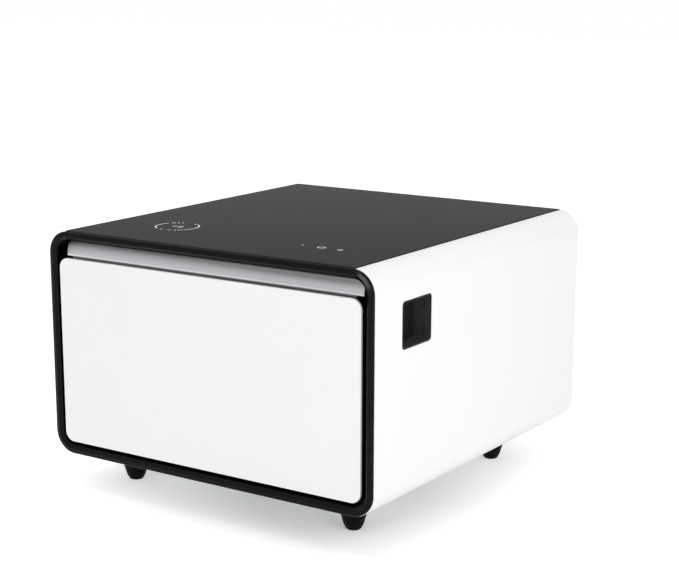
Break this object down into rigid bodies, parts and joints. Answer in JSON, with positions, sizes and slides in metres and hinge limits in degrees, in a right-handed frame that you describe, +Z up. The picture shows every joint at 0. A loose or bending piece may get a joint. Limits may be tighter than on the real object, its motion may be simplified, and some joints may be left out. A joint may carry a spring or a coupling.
{
  "type": "refrigerator coffee table",
  "caption": "Low white table with a black glass top, a cooled drawer behind a black front frame, an outlet recess in one side and short tapered feet.",
  "frame": {"origin": "on the floor under the middle of the table's outline", "axes": "+Z up, +Y from the drawer front to the back, +X to the right of someone who stands in front of the drawer"},
  "size_m": [0.668, 0.7036, 0.46],
  "materials": {
    "shell_white": "satin white coating",
    "frame_black": "polished black moulding",
    "top_glass": "toughened glass, painted black behind",
    "door_white": "glossy white panel",
    "channel_silver": "satin anodised",
    "black_plastic": "fine moulded texture",
    "inner_white": "smooth thermoformed",
    "foam": "rigid foam",
    "sheet_steel": "zinc plated",
    "compressor_black": "black paint",
    "copper": "drawn copper tube",
    "plate_aluminium": "plain rolled",
    "rubber_black": "moulded",
    "gasket_grey": "soft extruded",
    "circuit_board": "green mask",
    "lamp_cover": "opal",
    "grey_plastic": "moulded"
  },
  "bodies": {
    "cabinet": {"side_shell_left": "shell_white", "side_shell_right": "shell_white", "front_frame": "frame_black", "glass_top": "top_glass", "top_deck": "sheet_steel", "rear_trim": "shell_white", "back_panel": "shell_white", "base_pan": "sheet_steel", "insulation_foam": "foam", "cavity_liner": "inner_white", "evaporator_plate": "plate_aluminium", "cavity_light": "lamp_cover", "charger_board": "circuit_board", "charger_coil": "copper", "touch_board": "circuit_board", "outlet_bezel": "black_plastic", "mains_outlet": "black_plastic", "usb_module": "sheet_steel", "outlet_back_box": "sheet_steel", "foot_front_left": "black_plastic", "foot_front_right": "black_plastic", "foot_rear_left": "black_plastic", "foot_rear_right": "black_plastic", "foot_screw_front_left": "sheet_steel", "foot_screw_front_right": "sheet_steel", "foot_screw_rear_left": "sheet_steel", "foot_screw_rear_right": "sheet_steel", "cord_gland": "black_plastic", "compressor": "compressor_black", "compressor_grommet_1": "rubber_black", "compressor_grommet_2": "rubber_black", "compressor_grommet_3": "rubber_black", "compressor_grommet_4": "rubber_black", "start_relay": "black_plastic", "condenser_coil": "copper", "filter_drier": "copper", "suction_pipe": "copper", "discharge_pipe": "copper", "fan_housing": "black_plastic", "power_supply": "sheet_steel", "control_box": "grey_plastic", "control_board": "circuit_board", "rail_outer_left": "sheet_steel", "rail_outer_right": "sheet_steel"},
    "drawer": {"door_panel": "door_white", "door_carrier": "black_plastic", "channel_backing": "black_plastic", "handle_channel": "channel_silver", "door_insulation": "foam", "door_liner": "inner_white", "door_gasket": "gasket_grey", "drawer_bracket_left": "sheet_steel", "drawer_bracket_right": "sheet_steel", "drawer_bin": "inner_white", "bin_divider": "inner_white", "rail_inner_left": "sheet_steel", "rail_inner_right": "sheet_steel"},
    "slide_middle_left": {"rail_middle_left": "sheet_steel"},
    "slide_middle_right": {"rail_middle_right": "sheet_steel"},
    "condenser_fan": {"fan_rotor": "black_plastic"}
  },
  "joints": [
    {"name": "drawer_slide", "type": "slide", "parent": "cabinet", "child": "drawer", "axis": [0, -1, 0], "range_m": [0, 0.38]},
    {"name": "slide_middle_left_run", "type": "slide", "parent": "cabinet", "child": "slide_middle_left", "axis": [0, -1, 0], "range_m": [0, 0.19]},
    {"name": "slide_middle_right_run", "type": "slide", "parent": "cabinet", "child": "slide_middle_right", "axis": [0, -1, 0], "range_m": [0, 0.19]},
    {"name": "fan_spin", "type": "hinge", "parent": "cabinet", "child": "condenser_fan", "pos_m": [0.06, 0.2782, 0.1251], "axis": [0, 1, 0], "continuous": true}
  ],
  "couplings": [
    {"joint": "slide_middle_left_run", "follows": "drawer_slide", "ratio": 0.5},
    {"joint": "slide_middle_right_run", "follows": "drawer_slide", "ratio": 0.5}
  ]
}
